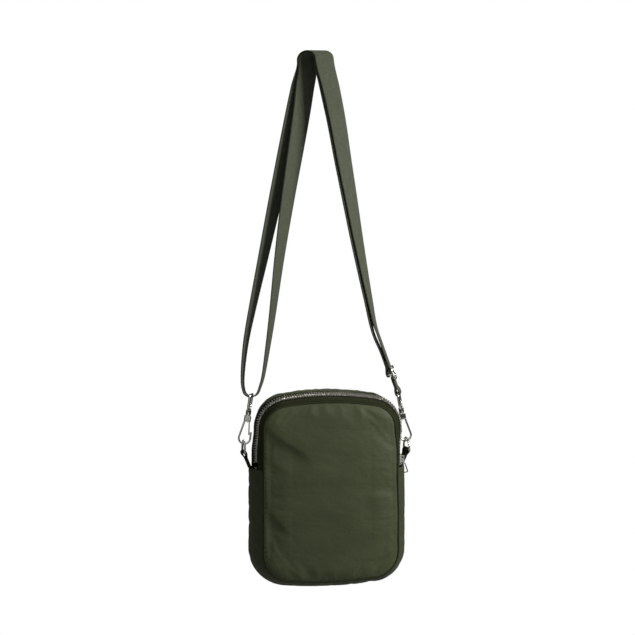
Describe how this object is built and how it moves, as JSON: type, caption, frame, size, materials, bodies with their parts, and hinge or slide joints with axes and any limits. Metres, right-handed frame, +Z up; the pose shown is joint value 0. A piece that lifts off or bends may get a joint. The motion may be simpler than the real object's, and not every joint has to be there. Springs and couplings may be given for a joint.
{
  "type": "crossbody purse",
  "caption": "Small soft crossbody purse with an arched zip, hanging from a long webbing strap that clips to side rings with swivel hooks.",
  "frame": {"origin": "middle of the bag's flat base", "axes": "+Z up along the hanging bag and strap, -Y out of the front panel, +X towards the zip's closed end"},
  "size_m": [0.1865, 0.064, 0.5625],
  "materials": {
    "shell_fabric": "coated nylon with a soft sheen",
    "piping_fabric": "coated nylon with a soft sheen",
    "zip_tape": "ribbed woven tape",
    "lining_fabric": "plain thin lining",
    "webbing": "woven webbing",
    "zip_metal": "antique nickel plate",
    "polished_hardware": "polished nickel plate",
    "spring_steel": "drawn wire"
  },
  "bodies": {
    "strap": {"strap_left_eye_loop": "webbing", "strap_left_inner_run": "webbing", "strap_left_outer_run": "webbing", "strap_right_end_loop": "webbing", "strap_right_front_run": "webbing", "strap_right_lower_run": "webbing", "strap_right_rear_run": "webbing", "strap_top_fold": "webbing", "left_swivel_eye": "polished_hardware", "right_swivel_eye": "polished_hardware"},
    "adjuster": {"strap_adjuster": "polished_hardware", "adjuster_end_loop": "webbing"},
    "bag": {"back_panel": "shell_fabric", "back_piping": "piping_fabric", "back_seam_binding": "lining_fabric", "front_panel": "shell_fabric", "front_piping": "piping_fabric", "front_seam_binding": "lining_fabric", "left_ring_tab": "shell_fabric", "lining_back_panel": "lining_fabric", "lining_front_panel": "lining_fabric", "lining_lower_gusset": "lining_fabric", "lining_upper_gusset": "lining_fabric", "lower_gusset": "shell_fabric", "right_ring_tab": "shell_fabric", "upper_gusset_back": "shell_fabric", "upper_gusset_front": "shell_fabric", "zip_end_stops": "zip_metal", "zip_tape_back": "zip_tape", "zip_tape_front": "zip_tape", "zip_teeth_back": "zip_metal", "zip_teeth_front": "zip_metal"},
    "left_ring": {"left_d_ring": "polished_hardware"},
    "right_ring": {"right_d_ring": "polished_hardware"},
    "zip_slider": {"zip_slider_body": "zip_metal", "zip_slider_bridge": "zip_metal"},
    "zip_pull": {"zip_pull_link": "zip_metal", "zip_pull_ring": "zip_metal"},
    "left_hook": {"left_hook_frame": "polished_hardware", "left_gate_pin": "polished_hardware", "left_gate_spring": "spring_steel", "left_swivel_rivet": "polished_hardware"},
    "left_gate": {"left_gate": "polished_hardware"},
    "right_hook": {"right_hook_frame": "polished_hardware", "right_gate_pin": "polished_hardware", "right_gate_spring": "spring_steel", "right_swivel_rivet": "polished_hardware"},
    "right_gate": {"right_gate": "polished_hardware"}
  },
  "joints": [
    {"name": "bag_swing", "type": "hinge", "parent": "strap", "child": "bag", "pos_m": [0, 0, 0.143], "axis": [1, 0, 0], "range_deg": [-25, 25]},
    {"name": "left_hook_swivel", "type": "hinge", "parent": "strap", "child": "left_hook", "pos_m": [-0.0872, 0, 0.1502], "axis": [0.1564, 0, 0.9877], "range_deg": [-25, 25]},
    {"name": "right_hook_swivel", "type": "hinge", "parent": "strap", "child": "right_hook", "pos_m": [0.0872, 0, 0.1502], "axis": [-0.1736, 0, 0.9848], "range_deg": [-25, 25]},
    {"name": "left_gate_open", "type": "hinge", "parent": "left_hook", "child": "left_gate", "pos_m": [-0.08116, 0, 0.17557], "axis": [0, 1, 0], "range_deg": [0, 18], "stiffness_Nm_per_rad": 0.002, "springref_deg": -20.05},
    {"name": "right_gate_open", "type": "hinge", "parent": "right_hook", "child": "right_gate", "pos_m": [0.08072, 0, 0.17546], "axis": [0, -1, 0], "range_deg": [0, 18], "stiffness_Nm_per_rad": 0.002, "springref_deg": -20.05},
    {"name": "left_ring_tilt", "type": "hinge", "parent": "bag", "child": "left_ring", "pos_m": [-0.0872, 0, 0.141], "axis": [0, 1, 0], "range_deg": [-6, 6]},
    {"name": "right_ring_tilt", "type": "hinge", "parent": "bag", "child": "right_ring", "pos_m": [0.0872, 0, 0.141], "axis": [0, 1, 0], "range_deg": [-6, 6]},
    {"name": "zip_slide", "type": "slide", "parent": "bag", "child": "zip_slider", "axis": [0, 0, 1], "range_m": [0, 0.029], "deforming": ["zip_teeth_front", "zip_teeth_back"]},
    {"name": "zip_pull_swing", "type": "hinge", "parent": "zip_slider", "child": "zip_pull", "pos_m": [0.07935, -0.01277, 0.1325], "axis": [-0.2086, -0.978, 0], "range_deg": [0, 110]},
    {"name": "adjuster_slide", "type": "slide", "parent": "strap", "child": "adjuster", "axis": [-0.3334, 0.0527, 0.9413], "range_m": [0, 0.032], "deforming": ["strap_right_rear_run"]}
  ]
}
